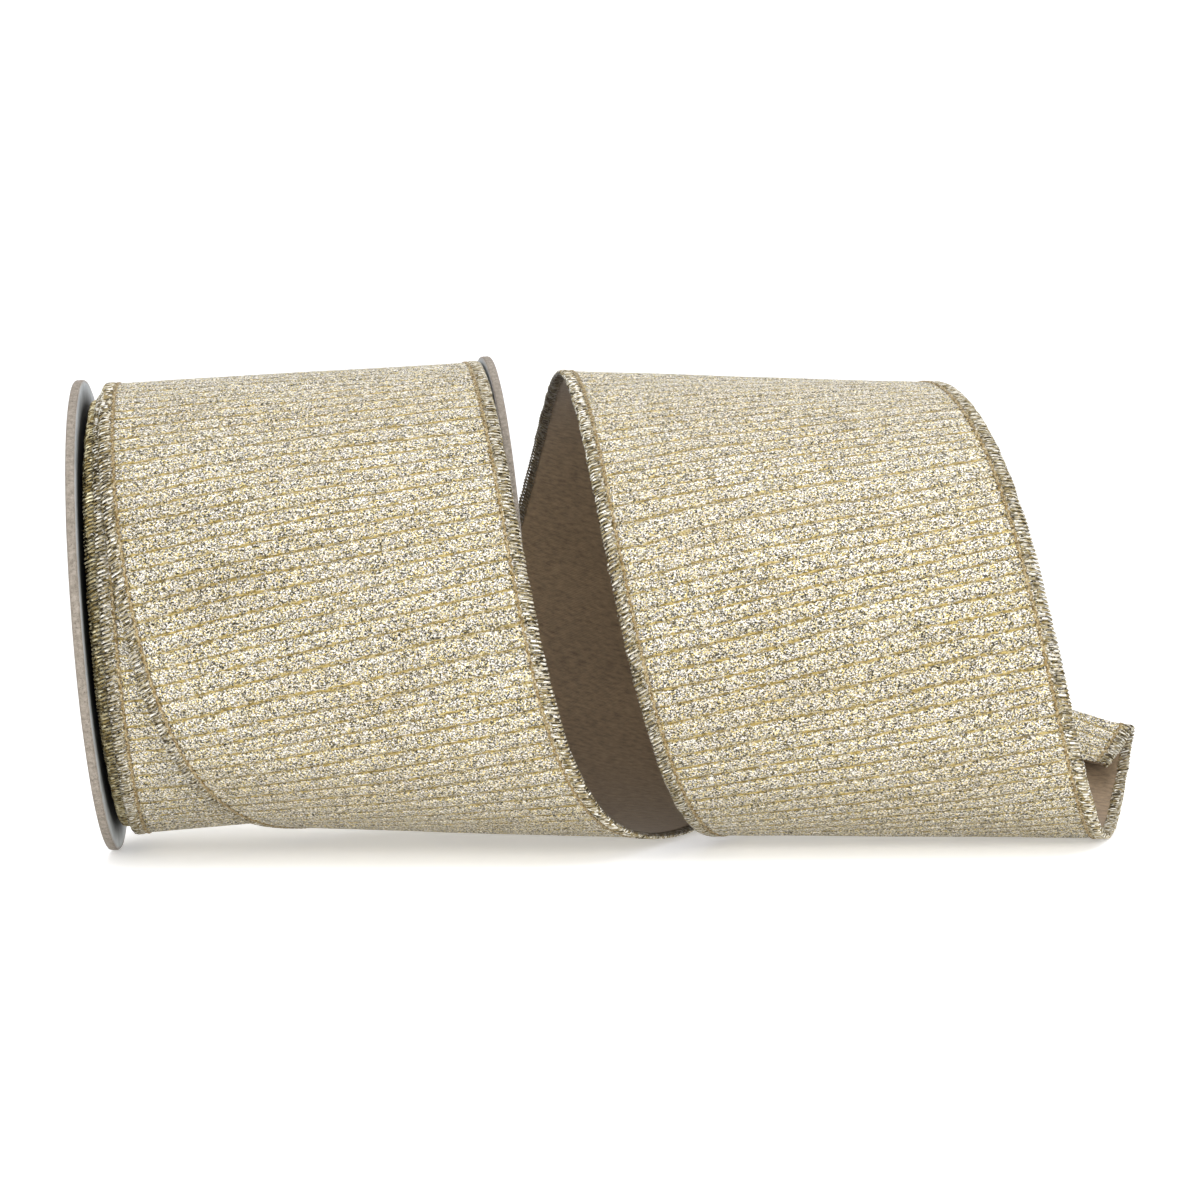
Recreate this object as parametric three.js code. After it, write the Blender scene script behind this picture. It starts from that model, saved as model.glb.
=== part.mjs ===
// Ribbon spool: a chipboard spool lying on its side, wound with wide wired-edge
// ribbon, whose last turns run off the top of the roll into a free curl.
// Millimetres, +Z up, +X along the spool from the left flange to the free end,
// the front is towards -Y. The object stands on z = 0, with the origin under its middle.
import * as THREE from "three";

// ---------------------------------------------------------------- spool
const FLANGE_RADIUS = 63.5;
const FLANGE_GAP = 106.4; // clear width between the two flanges
const BOARD_THICKNESS = 1.1;
const PAPER_THICKNESS = 0.3;
const FIT_GAP = 0.3; // clearance between pieces that touch
const SPOOL_TILT = 2.9; // degrees; the ribbon under the right flange props it up
const CORE_RADIUS = 25; // outside of the core tube
const CORE_WALL = 1.8;
const CORE_LIP_RADIUS = 28.4; // the tube's ends are curled over the flange holes
const CORE_LIP_THICKNESS = 1.2;
const TAPE_THICKNESS = 0.25;
const TAPE_WIDTH = 25;
const TAPE_ARC = 70; // degrees round the core
const TAPE_SEGMENTS = 8;
const ROLL_RADIUS = 57.5; // outside of the tightly wound turns
const ROLL_LEFT = 1.5; // their left edge, from the left flange
const ROUND_SEGMENTS = 60;

// ---------------------------------------------------------------- ribbon
const RIBBON_WIDTH = 100.6;
const BINDING_WIDTH = 2.9; // overlock stitching over the edge
const BINDING_HALF_THICKNESS = 0.75;
const BINDING_WALL = 0.3; // the thread layer over and under the wire
const CHAIN_WIDTH = 0.8; // row of chain stitch just inside the overlock
const CHAIN_HALF_THICKNESS = 0.5;
const CLOTH_THICKNESS = 0.3; // each of the two plies
const PLY_GAP = 0.4; // between them
const WIRE_DIAMETER = 0.4;
const LAST_TURN_START_RADIUS = 58.7; // middle of the ribbon, one turn before it leaves the roll
const LAST_TURN_END_RADIUS = 61.5; // where it leaves the roll, at the top
const LAST_TURN_DRIFT = 1.7; // how far that turn wanders to the right
const LIFT_POWER = 3; // it lifts off the turns below late in that turn
const LEAVING_MIDDLE = 55.4; // middle of the ribbon there, from the left flange
// The free ribbon is a flat strip bent without stretching. Every 50 mm along it:
// how many degrees it bends over the next 50 mm, and by how many degrees the straight
// lines it bends about lean away from square across the strip.
const STATION_STEP = 50;
const BEND_DEGREES = [44, 34, 42, 59, 19, 23, 40, 47, 45, 32, 24, 46, 54, 47, 51, 51, 49];
const LEAN_DEGREES = [0, 11, 20, 14, 12, 18, 18, 13, 14, 18, 17, 12, 12, 13, 11, 12, 14];
const FREE_LENGTH = 722; // from the top of the roll to the piece with the fold
const MESH_STEP = 11; // along the ribbon
const CLOTH_COLUMNS = 3; // across it
const FRAME_STEP = 2.5;
const LINE_PASSES = 12; // until a bending line's place settles
const LIST_END_MARGIN = 1.001; // keeps a lookup one step inside its list
// The last bit is folded inwards on a slant and hangs back over the inside.
const FOLD_PLACE = 733; // along the middle, from the top of the roll
const FOLD_SLANT = -7; // degrees off square across the ribbon
const CUT_PLACE = 749.7; // the ribbon is cut off straight across here
const FOLD_RADIUS = 1.7;
const FLAP_SPREAD = 8; // degrees away from the ribbon
const FOLD_HALF_THICKNESS = 0.65;
const FOLD_STEPS = 4; // round the small bend
const FOLD_COLUMNS = 8; // across the ribbon

const radians = THREE.MathUtils.degToRad;
const STACK = BOARD_THICKNESS + 2 * (PAPER_THICKNESS + FIT_GAP); // one whole flange
const CLOTH_HALF_WIDTH = RIBBON_WIDTH / 2 - BINDING_WIDTH - CHAIN_WIDTH - 2 * FIT_GAP;

// ---------------------------------------------------------------- materials
function material(colour, roughness, metalness = 0) {
  return new THREE.MeshStandardMaterial({ color: colour, roughness, metalness });
}
const chipboard = () => material(0x8c7c68, 0.9);
const greyPaper = () => material(0xb9c2c6, 0.8);
const tapeFilm = () => material(0xd9d2c0, 0.35);
const glitterCloth = () => material(0xc9bd97, 0.45, 0.5);
const brownCloth = () => material(0x5f5041, 0.85);
const metallicThread = () => material(0xb3a98c, 0.5, 0.4);
const goldThread = () => material(0xa98b4e, 0.55, 0.4);
const ironWire = () => material(0x9a9a98, 0.4, 1);

function named(name, geometry, finish) {
  const mesh = new THREE.Mesh(geometry, finish);
  mesh.name = name;
  return mesh;
}

// ---------------------------------------------------------------- round pieces
// A profile of [distance along the spool, radius] pairs, turned about the X axis.
function turned(profile) {
  const outline = profile.map(([along, radius]) => new THREE.Vector2(radius, along));
  outline.push(outline[0].clone());
  return new THREE.LatheGeometry(outline, ROUND_SEGMENTS).rotateZ(-Math.PI / 2);
}

function ring(from, to, inner, outer) {
  return turned([
    [from, inner],
    [from, outer],
    [to, outer],
    [to, inner],
  ]);
}

// One flange: the board between two paper skins. side is -1 at the left, 1 at the right.
// The outer paper stops round the core's lip, which grips the bare board.
function flange(label, innerFace, side) {
  const tubeHole = CORE_RADIUS + FIT_GAP;
  const lipHole = CORE_LIP_RADIUS + FIT_GAP;
  const plies = [
    ["inner_paper", PAPER_THICKNESS, tubeHole, greyPaper],
    ["board", BOARD_THICKNESS, tubeHole, chipboard],
    ["outer_paper", PAPER_THICKNESS, lipHole, greyPaper],
  ];
  const group = new THREE.Group();
  let face = innerFace;
  for (const [ply, thickness, hole, finish] of plies) {
    const far = face + side * thickness;
    const geometry = ring(Math.min(face, far), Math.max(face, far), hole, FLANGE_RADIUS);
    group.add(named(`${label}_flange_${ply}`, geometry, finish()));
    face = far + side * FIT_GAP;
  }
  return group;
}

// The tube passes through both flanges, and its ends are curled over their boards.
function coreTube() {
  const inner = CORE_RADIUS - CORE_WALL;
  const seat = STACK - PAPER_THICKNESS;
  const end = seat + CORE_LIP_THICKNESS;
  return named(
    "core_tube",
    turned([
      [-end, inner],
      [-end, CORE_LIP_RADIUS],
      [-seat, CORE_LIP_RADIUS],
      [-seat, CORE_RADIUS],
      [FLANGE_GAP + seat, CORE_RADIUS],
      [FLANGE_GAP + seat, CORE_LIP_RADIUS],
      [FLANGE_GAP + end, CORE_LIP_RADIUS],
      [FLANGE_GAP + end, inner],
    ]),
    chipboard(),
  );
}

// The patch of tape that holds the first end of the ribbon to the core.
function starterTape() {
  const inner = CORE_RADIUS + FIT_GAP;
  const outer = inner + TAPE_THICKNESS;
  const shape = new THREE.Shape();
  shape.absarc(0, 0, outer, 0, radians(TAPE_ARC), false);
  shape.absarc(0, 0, inner, radians(TAPE_ARC), 0, true);
  const geometry = new THREE.ExtrudeGeometry(shape, {
    depth: TAPE_WIDTH,
    bevelEnabled: false,
    curveSegments: TAPE_SEGMENTS,
  });
  geometry.rotateY(Math.PI / 2).translate((FLANGE_GAP - TAPE_WIDTH) / 2, 0, 0);
  return named("starter_tape", geometry, tapeFilm());
}

// The tight turns: the cloth between its two stacks of stitched edges.
function woundRibbon() {
  const inner = CORE_RADIUS + TAPE_THICKNESS + 2 * FIT_GAP;
  const right = ROLL_LEFT + RIBBON_WIDTH;
  const webLeft = ROLL_LEFT + BINDING_WIDTH + FIT_GAP;
  const webRight = right - BINDING_WIDTH - FIT_GAP;
  const group = new THREE.Group();
  group.add(
    named("wound_ribbon_web", ring(webLeft, webRight, inner, ROLL_RADIUS), glitterCloth()),
    named(
      "wound_left_binding",
      ring(ROLL_LEFT, ROLL_LEFT + BINDING_WIDTH, inner, ROLL_RADIUS),
      metallicThread(),
    ),
    named(
      "wound_right_binding",
      ring(right - BINDING_WIDTH, right, inner, ROLL_RADIUS),
      metallicThread(),
    ),
  );
  return group;
}

// ---------------------------------------------------------------- the ribbon's surface
// The last turn on the roll hugs the turns below and lifts off them near its end.
const LAST_TURN_LIFT = LAST_TURN_END_RADIUS - LAST_TURN_START_RADIUS;
const TURN_LENGTH =
  2 * Math.PI * (LAST_TURN_START_RADIUS + LAST_TURN_LIFT / (LIFT_POWER + 1));

// The value of a station list at a distance along the ribbon, on a smooth curve.
function stationValue(list, distance) {
  const place = THREE.MathUtils.clamp(distance / STATION_STEP, 0, list.length - LIST_END_MARGIN);
  const first = Math.floor(place);
  const f = place - first;
  const pick = (k) => list[THREE.MathUtils.clamp(k, 0, list.length - 1)];
  const [a, b, c, d] = [-1, 0, 1, 2].map((k) => pick(first + k));
  return (
    b +
    0.5 * f * (c - a + f * (2 * a - 5 * b + 4 * c - d + f * (3 * b - a - 3 * c + d)))
  );
}

const leanTangent = (distance) => Math.tan(radians(stationValue(LEAN_DEGREES, distance)));

// Frames along the middle of the free ribbon: forward along it, out of its face, and
// across it to the right. Each step turns the frame about the line the strip bends on.
function freeFrames() {
  const frames = [];
  const place = new THREE.Vector3(LEAVING_MIDDLE, 0, LAST_TURN_END_RADIUS);
  const forward = new THREE.Vector3(0, -1, 0);
  const across = new THREE.Vector3(1, 0, 0);
  const outward = new THREE.Vector3(0, 0, 1);
  const lastPlace = FREE_LENGTH + RIBBON_WIDTH;
  for (let s = 0; s <= lastPlace; s += FRAME_STEP) {
    frames.push({
      place: place.clone(),
      forward: forward.clone(),
      across: across.clone(),
      outward: outward.clone(),
    });
    const middle = s + FRAME_STEP / 2;
    const bend = radians(stationValue(BEND_DEGREES, middle)) * (FRAME_STEP / STATION_STEP);
    const line = across.clone().addScaledVector(forward, leanTangent(middle)).multiplyScalar(bend);
    const turn = new THREE.Quaternion().setFromAxisAngle(line.clone().normalize(), line.length());
    const half = new THREE.Quaternion().slerp(turn, 0.5);
    place.addScaledVector(forward.clone().applyQuaternion(half), FRAME_STEP);
    for (const v of [forward, across, outward]) v.applyQuaternion(turn);
  }
  return frames;
}
const FRAMES = freeFrames();

// The frame at any distance along the middle of the ribbon, by blending its neighbours.
function frameAt(distance) {
  const place = THREE.MathUtils.clamp(distance / FRAME_STEP, 0, FRAMES.length - LIST_END_MARGIN);
  const first = Math.floor(place);
  const mix = {};
  for (const key of ["place", "forward", "across", "outward"])
    mix[key] = FRAMES[first][key].clone().lerp(FRAMES[first + 1][key], place - first);
  return mix;
}

// A point of the ribbon: distance along it, offset across it, and height over its middle
// ply. Before distance 0 it lies on the roll, as one turn of a slow spiral.
function ribbonPoint(along, offset, height) {
  if (along < 0) {
    const turn = along / TURN_LENGTH;
    const radius =
      LAST_TURN_START_RADIUS + LAST_TURN_LIFT * (1 + turn) ** LIFT_POWER + height;
    const angle = 2 * Math.PI * turn;
    return new THREE.Vector3(
      LEAVING_MIDDLE + LAST_TURN_DRIFT * turn + offset,
      -radius * Math.sin(angle),
      radius * Math.cos(angle),
    );
  }
  // The straight line of the strip that passes through the point meets the middle here.
  let line = along;
  for (let pass = 0; pass < LINE_PASSES; pass += 1) line = along - offset * leanTangent(line);
  const frame = frameAt(line);
  return frame.place
    .addScaledVector(frame.across, offset)
    .addScaledVector(frame.forward, along - line)
    .addScaledVector(frame.outward, height);
}

// ---------------------------------------------------------------- strips along the ribbon
// A closed skin round a row of sections. Each section is a ladder: an outer and an inner
// line of points with the same number of points, joined at both ends.
function laddered(sections) {
  const rungs = sections[0].outer.length;
  const size = 2 * rungs;
  const positions = [];
  for (const { outer, inner } of sections)
    for (const p of [...outer, ...[...inner].reverse()]) positions.push(p.x, p.y, p.z);
  const faces = [];
  const quad = (a, b, c, d) => faces.push(a, b, c, a, c, d);
  // Both lines split their quads along the same diagonal, so the walls stay parallel.
  for (let i = 0; i + 1 < sections.length; i += 1)
    for (let k = 0; k < size; k += 1) {
      const next = (k + 1) % size;
      const corners = [i * size + k, (i + 1) * size + k, (i + 1) * size + next, i * size + next];
      if (k >= rungs) corners.push(corners.shift());
      quad(...corners);
    }
  const last = (sections.length - 1) * size;
  for (let k = 0; k + 1 < rungs; k += 1) {
    const back = size - 1 - k;
    quad(k, k + 1, back - 1, back);
    quad(last + k, last + back, last + back - 1, last + k + 1);
  }
  const geometry = new THREE.BufferGeometry();
  geometry.setAttribute("position", new THREE.Float32BufferAttribute(positions, 3));
  geometry.setIndex(faces);
  geometry.computeVertexNormals();
  return geometry;
}

// A strip of fixed section, given as [offset, height] pairs, along the whole ribbon.
function strip(outer, inner) {
  const start = -TURN_LENGTH;
  const count = Math.round((FREE_LENGTH - start) / MESH_STEP);
  const sections = [];
  for (let i = 0; i <= count; i += 1) {
    const s = start + ((FREE_LENGTH - start) * i) / count;
    const points = (line) => line.map(([offset, height]) => ribbonPoint(s, offset, height));
    sections.push({ outer: points(outer), inner: points(inner) });
  }
  return laddered(sections);
}

function ply(name, low, high, finish) {
  const offsets = Array.from(
    { length: CLOTH_COLUMNS + 1 },
    (_, k) => CLOTH_HALF_WIDTH * ((2 * k) / CLOTH_COLUMNS - 1),
  );
  const at = (height) => offsets.map((offset) => [offset, height]);
  return named(name, strip(at(high), at(low)), finish);
}

// The stitched edge is a channel round the wire, open towards the cloth.
function binding(name, side) {
  const edge = (side * RIBBON_WIDTH) / 2;
  const mouth = edge - side * BINDING_WIDTH;
  const floor = edge - side * 2 * BINDING_WALL;
  const slot = BINDING_HALF_THICKNESS - BINDING_WALL;
  const outer = [
    [mouth, BINDING_HALF_THICKNESS],
    [edge, slot],
    [edge, -slot],
    [mouth, -BINDING_HALF_THICKNESS],
  ];
  const inner = [
    [mouth, slot],
    [floor, slot / 2],
    [floor, -slot / 2],
    [mouth, -slot],
  ];
  const geometry = side > 0 ? strip(outer, inner) : strip(outer.reverse(), inner.reverse());
  return named(name, geometry, metallicThread());
}

// A thin cord of oblong section, at an offset across the ribbon.
function cord(name, middle, halfWidth, halfHeight, finish) {
  const line = (height) => [
    [middle - halfWidth, height],
    [middle + halfWidth, height],
  ];
  return named(name, strip(line(halfHeight), line(-halfHeight)), finish);
}

// The folded end: both plies turned inwards round a small bend, then back as a flap.
// A profile point is [distance past the fold line, height, direction in radians].
function foldProfile(flapLength) {
  const spread = radians(FLAP_SPREAD);
  const profile = [];
  for (let k = 0; k <= FOLD_STEPS; k += 1) {
    const angle = ((Math.PI + spread) * k) / FOLD_STEPS;
    profile.push([FOLD_RADIUS * Math.sin(angle), -FOLD_RADIUS * (1 - Math.cos(angle)), angle]);
  }
  const [reach, height, angle] = profile.at(-1);
  profile.push([
    reach - flapLength * Math.cos(spread),
    height - flapLength * Math.sin(spread),
    angle,
  ]);
  return profile;
}

function endFold() {
  const slant = radians(FOLD_SLANT);
  const start = FREE_LENGTH + FIT_GAP;
  const bendLength = (Math.PI + radians(FLAP_SPREAD)) * FOLD_RADIUS;
  const sections = [];
  for (let i = 0; i <= FOLD_COLUMNS; i += 1) {
    const offset = (RIBBON_WIDTH / 2) * ((2 * i) / FOLD_COLUMNS - 1);
    const foldPlace = FOLD_PLACE + offset * Math.tan(slant);
    const flapLength = (CUT_PLACE - foldPlace) * Math.cos(slant) - bendLength;
    const profile = foldProfile(flapLength);
    const line = (sign) => {
      const thickness = sign * FOLD_HALF_THICKNESS;
      const bent = profile.map(([distance, height, angle]) => {
        const past = distance + thickness * Math.sin(angle);
        return ribbonPoint(
          foldPlace + past * Math.cos(slant),
          offset - past * Math.sin(slant),
          height + thickness * Math.cos(angle),
        );
      });
      return [ribbonPoint(start, offset, thickness), ...bent];
    };
    sections.push({ outer: line(-1), inner: line(1) });
  }
  return named("ribbon_end_fold", laddered(sections), glitterCloth());
}

function ribbonTail() {
  const seam = PLY_GAP / 2;
  const edge = RIBBON_WIDTH / 2;
  const group = new THREE.Group();
  group.add(
    ply("ribbon_face_cloth", seam, seam + CLOTH_THICKNESS, glitterCloth()),
    ply("ribbon_backing_cloth", -seam - CLOTH_THICKNESS, -seam, brownCloth()),
    endFold(),
  );
  for (const [label, side] of [
    ["left", -1],
    ["right", 1],
  ]) {
    const chainMiddle = side * (edge - BINDING_WIDTH - FIT_GAP - CHAIN_WIDTH / 2);
    const wireMiddle = side * (edge - BINDING_WIDTH / 2);
    const wireRadius = WIRE_DIAMETER / 2;
    group.add(
      binding(`ribbon_${label}_overlock`, side),
      cord(
        `ribbon_${label}_chain_stitch`,
        chainMiddle,
        CHAIN_WIDTH / 2,
        CHAIN_HALF_THICKNESS,
        goldThread(),
      ),
      cord(`ribbon_${label}_wire`, wireMiddle, wireRadius, wireRadius, ironWire()),
    );
  }
  return group;
}

// ---------------------------------------------------------------- the whole object
const spool = new THREE.Group();
spool.add(
  flange("left", 0, -1),
  flange("right", FLANGE_GAP, 1),
  coreTube(),
  starterTape(),
  woundRibbon(),
  ribbonTail(),
);
spool.rotation.y = -radians(SPOOL_TILT);

const object = new THREE.Group();
object.add(spool);
const box = new THREE.Box3().setFromObject(object, true);
const middle = box.getCenter(new THREE.Vector3());
spool.position.set(-middle.x, -middle.y, -box.min.z);

export default object;
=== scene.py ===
"""A ribbon spool lying on its side: chipboard spool, tightly wound wired-edge metallic ribbon,
and the free end run off into a curl. Lengths of the design are in millimetres, and MM turns
them into Blender's metres. Pieces are built in the CAD frame."""

import math

import bpy
import mathutils
import numpy as np
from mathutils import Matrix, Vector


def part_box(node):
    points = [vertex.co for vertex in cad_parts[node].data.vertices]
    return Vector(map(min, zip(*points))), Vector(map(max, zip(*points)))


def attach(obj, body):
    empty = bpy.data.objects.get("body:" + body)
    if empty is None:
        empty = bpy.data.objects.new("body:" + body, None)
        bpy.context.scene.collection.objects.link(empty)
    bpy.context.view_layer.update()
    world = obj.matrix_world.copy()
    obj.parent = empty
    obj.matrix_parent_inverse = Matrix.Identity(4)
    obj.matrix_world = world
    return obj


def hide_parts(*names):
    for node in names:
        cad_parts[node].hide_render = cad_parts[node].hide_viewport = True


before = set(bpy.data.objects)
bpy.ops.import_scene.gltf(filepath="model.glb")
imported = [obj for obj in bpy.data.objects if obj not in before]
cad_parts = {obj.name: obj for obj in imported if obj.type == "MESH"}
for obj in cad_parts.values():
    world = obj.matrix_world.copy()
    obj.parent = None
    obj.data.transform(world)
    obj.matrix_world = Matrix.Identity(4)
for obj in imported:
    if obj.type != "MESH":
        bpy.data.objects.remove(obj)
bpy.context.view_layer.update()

MM = 0.001

# ------------------------------------------------------------------ the design, in mm
# The spool: flanges of board between two papers, and a tube curled over them at both ends.
PAPER = 0.3
FIT_GAP = 0.3
BOARD = 1.1
FLANGE_STACK = BOARD + 2 * (PAPER + FIT_GAP)
FLANGE_GAP = 106.4
FLANGE_RADIUS = 63.5
CORE_RADIUS = 25.0
CORE_WALL = 1.8
CORE_LIP_RADIUS = 28.4
CORE_LIP = 1.2
SKIN = 0.16  # the drawn papers' thickness

# The wound roll.
ROLL_RADIUS = 57.6
ROLL_LEFT = 1.5
ROLL_PITCH = 1.03
ROLL_START = 1.2  # the innermost turn's middle, above the core
ROLL_END = 0.3  # the outermost turn's middle, below the roll's radius
ROLL_HALF_THICKNESS = 0.28
ROLL_RIBS = 0.35  # the share of the ribs' height left between pressed turns
ROLL_STEPS = 110  # for each turn
ROLL_COLUMNS = 14
OUTER_TURNS = 4
STRAND_INSET = 1.5
STRAND_RADII = (0.50, 1.45)

# The ribbon: two plies of cloth between stitched edges.
RIBBON_WIDTH = 100.6
HALF_WIDTH = RIBBON_WIDTH / 2
CLOTH_REACH = HALF_WIDTH - 1.2
PLY_HALF_GAP = 0.12
PLY = 0.28
RIB_PITCH = 4.3
CHAIN_INSET = 3.75
CHAIN_STEP = 0.42
CHAIN_HEIGHT = 0.50
CHAIN_RADII = (0.26, 0.42)
WIRE_INSET = 1.6
WIRE_STEP = 4.0
WIRE_RADII = (0.18, 0.18)
YARN_RADII = (0.16, 0.16)

# The free ribbon's route, as in the CAD model: a flat strip bent without stretching.
LAST_TURN_START_RADIUS = 58.7
LAST_TURN_END_RADIUS = 61.5
LAST_TURN_DRIFT = 1.7
LIFT_POWER = 3
LEAVING_MIDDLE = 55.4
STATION_STEP = 50.0
BEND_DEGREES = [44, 34, 42, 59, 19, 23, 40, 47, 45, 32, 24, 46, 54, 47, 51, 51, 49]
LEAN_DEGREES = [0, 11, 20, 14, 12, 18, 18, 13, 14, 18, 17, 12, 12, 13, 11, 12, 14]
LIST_END_MARGIN = 1.001
FREE_LENGTH = 722.0
FRAME_STEP = 2.5
LINE_PASSES = 12
LIFT = LAST_TURN_END_RADIUS - LAST_TURN_START_RADIUS
TURN_LENGTH = 2 * math.pi * (LAST_TURN_START_RADIUS + LIFT / (LIFT_POWER + 1))

# The end: a slanting fold inwards, and a slightly wavy flap that hangs back from it.
FOLD_PLACE = 733.0
FOLD_SLANT = math.radians(-7)
CUT_PLACE = 749.7
FOLD_RADIUS = 1.7
FLAP_SPREAD = math.radians(8)
FOLD_ARC = (math.pi + FLAP_SPREAD) * FOLD_RADIUS
FLAP_WAVE = 0.9
FLAP_WAVE_LENGTH = 5.3
FLAP_WAVE_GROWS = 12

# The edge stitches: thread wrapped round the edge, a little flattened.
STITCH_PITCH = 1.08
STITCH_SLANT = 0.8
STITCH_INSET = 1.75
STITCH_HALF_WIDTH = 1.45
STITCH_HALF_THICKNESS = 0.62
STITCH_POINTS = 10
THREAD_RADII = (0.26, 0.36)
# Between these stitches, counted from the start of the ribbon's last turn, the darkening of
# the stitches' backing half falls to a quarter: in part the bright thread reaching round the
# edge to that side, in part less painted shade.
UNDERSIDE_FADE_FROM = 760
UNDERSIDE_FADE_TO = 850


# ------------------------------------------------------------------ the spool's own frame
def node_middle(name):
    low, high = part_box(name)
    return (np.array(low) + np.array(high)) / 2


LEFT_BOARD = node_middle("left_flange_board")
RIGHT_BOARD = node_middle("right_flange_board")
AXIS = (RIGHT_BOARD - LEFT_BOARD) / np.linalg.norm(RIGHT_BOARD - LEFT_BOARD)
BACK = np.array([0.0, 1.0, 0.0])
UP = np.cross(AXIS, BACK)
ORIGIN = LEFT_BOARD + AXIS * (FIT_GAP + PAPER + BOARD / 2) * MM


def to_row(points):
    """Points in the spool's frame, mm (along the axis, back, up), as metres in the CAD frame."""
    p = np.asarray(points, float) * MM
    return ORIGIN + p[..., 0:1] * AXIS + p[..., 1:2] * BACK + p[..., 2:3] * UP


def round_axis(along, radius, angle):
    """Points at an angle round the spool's axis, from the top towards the front."""
    parts = np.broadcast_arrays(along, -radius * np.sin(angle), radius * np.cos(angle))
    return np.stack(parts, -1)


# ------------------------------------------------------------------ smooth random values
class Noise:
    """Smooth random values in -1..1 over one or two coordinates, the same on each run."""

    SIZE = 256

    def __init__(self, seed):
        self.table = np.random.default_rng(seed).uniform(-1, 1, (self.SIZE, self.SIZE))

    def at(self, i, j):
        return self.table[i % self.SIZE, j % self.SIZE]

    def __call__(self, x, y=0.0):
        x, y = np.broadcast_arrays(np.asarray(x, float), np.asarray(y, float))
        i, j = np.floor(x).astype(int), np.floor(y).astype(int)
        fx, fy = x - i, y - j
        fx, fy = fx * fx * (3 - 2 * fx), fy * fy * (3 - 2 * fy)
        low = self.at(i, j) * (1 - fx) + self.at(i + 1, j) * fx
        high = self.at(i, j + 1) * (1 - fx) + self.at(i + 1, j + 1) * fx
        return low * (1 - fy) + high * fy


# ------------------------------------------------------------------ the ribbon's surface
def station_value(stations, distance):
    """A smooth curve through the values at the stations, read at a distance."""
    last = len(stations) - LIST_END_MARGIN
    place = np.clip(np.asarray(distance, float) / STATION_STEP, 0, last)
    first = np.floor(place).astype(int)
    f = place - first
    values = np.array(stations, float)
    a, b, c, d = (values[np.clip(first + k, 0, len(values) - 1)] for k in (-1, 0, 1, 2))
    return b + 0.5 * f * (c - a + f * (2 * a - 5 * b + 4 * c - d + f * (3 * b - a - 3 * c + d)))


def lean_tangent(distance):
    return np.tan(np.radians(station_value(LEAN_DEGREES, distance)))


def turned(vectors, line, angle):
    """Vectors turned about a unit line."""
    c, s = math.cos(angle), math.sin(angle)
    return vectors * c + np.cross(line, vectors) * s + np.outer(vectors @ line, line) * (1 - c)


def free_frames():
    """Every FRAME_STEP along the free strip: its middle, then its own three axes."""
    rows = []
    place = np.array([LEAVING_MIDDLE, 0, LAST_TURN_END_RADIUS])
    axes = np.array([[0.0, -1, 0], [1, 0, 0], [0, 0, 1]])
    count = int((FREE_LENGTH + RIBBON_WIDTH) / FRAME_STEP) + 1
    for k in range(count):
        rows.append(np.vstack([place, axes]))
        middle = (k + 0.5) * FRAME_STEP
        bend = math.radians(float(station_value(BEND_DEGREES, middle))) * FRAME_STEP / STATION_STEP
        line = (axes[1] + axes[0] * float(lean_tangent(middle))) * bend
        angle = np.linalg.norm(line)
        line = line / angle
        place = place + turned(axes[:1], line, angle / 2)[0] * FRAME_STEP
        axes = turned(axes, line, angle)
    return np.array(rows)


FRAMES = free_frames()


def flat_point(along, offset, height):
    """The CAD model's ribbon surface: before 0 a turn on the roll, after it the free strip."""
    along, offset, height = np.broadcast_arrays(along, offset, height)
    turn = np.minimum(along, 0) / TURN_LENGTH
    radius = LAST_TURN_START_RADIUS + LIFT * (1 + turn) ** LIFT_POWER + height
    middle = LEAVING_MIDDLE + LAST_TURN_DRIFT * turn + offset
    on_roll = round_axis(middle, radius, 2 * np.pi * turn)
    line = along.copy()
    for _ in range(LINE_PASSES):
        line = along - offset * lean_tangent(line)
    place = np.clip(line / FRAME_STEP, 0, len(FRAMES) - LIST_END_MARGIN)
    first = np.floor(place).astype(int)
    f = (place - first)[..., None, None]
    mixed = FRAMES[first] * (1 - f) + FRAMES[first + 1] * f
    free = (
        mixed[..., 0, :]
        + mixed[..., 1, :] * (along - line)[..., None]
        + mixed[..., 2, :] * offset[..., None]
        + mixed[..., 3, :] * height[..., None]
    )
    return np.where((along < 0)[..., None], on_roll, free)


def ribbon_point(along, offset, height):
    """As flat_point, with the end turned inwards about the slanting fold and back as a flap."""
    along, offset, height = np.broadcast_arrays(
        np.asarray(along, float), np.asarray(offset, float), np.asarray(height, float)
    )
    c, s = math.cos(FOLD_SLANT), math.sin(FOLD_SLANT)
    past = np.maximum((along - FOLD_PLACE - offset * math.tan(FOLD_SLANT)) * c, 0)
    angle = np.minimum(past, FOLD_ARC) / FOLD_RADIUS
    straight = np.maximum(past - FOLD_ARC, 0)
    reach = FOLD_RADIUS * np.sin(angle) + straight * np.cos(angle) + height * np.sin(angle) - past
    wave = FLAP_WAVE * np.sin(offset / FLAP_WAVE_LENGTH) * np.clip(past / FLAP_WAVE_GROWS, 0, 1)
    drop = -FOLD_RADIUS * (1 - np.cos(angle)) - straight * math.sin(FLAP_SPREAD) + wave
    return flat_point(along + c * reach, offset - s * reach, drop + height * np.cos(angle))


# ------------------------------------------------------------------ meshes
def add_object(name, data):
    item = bpy.data.objects.new(name, data)
    bpy.context.scene.collection.objects.link(item)
    return item


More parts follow.
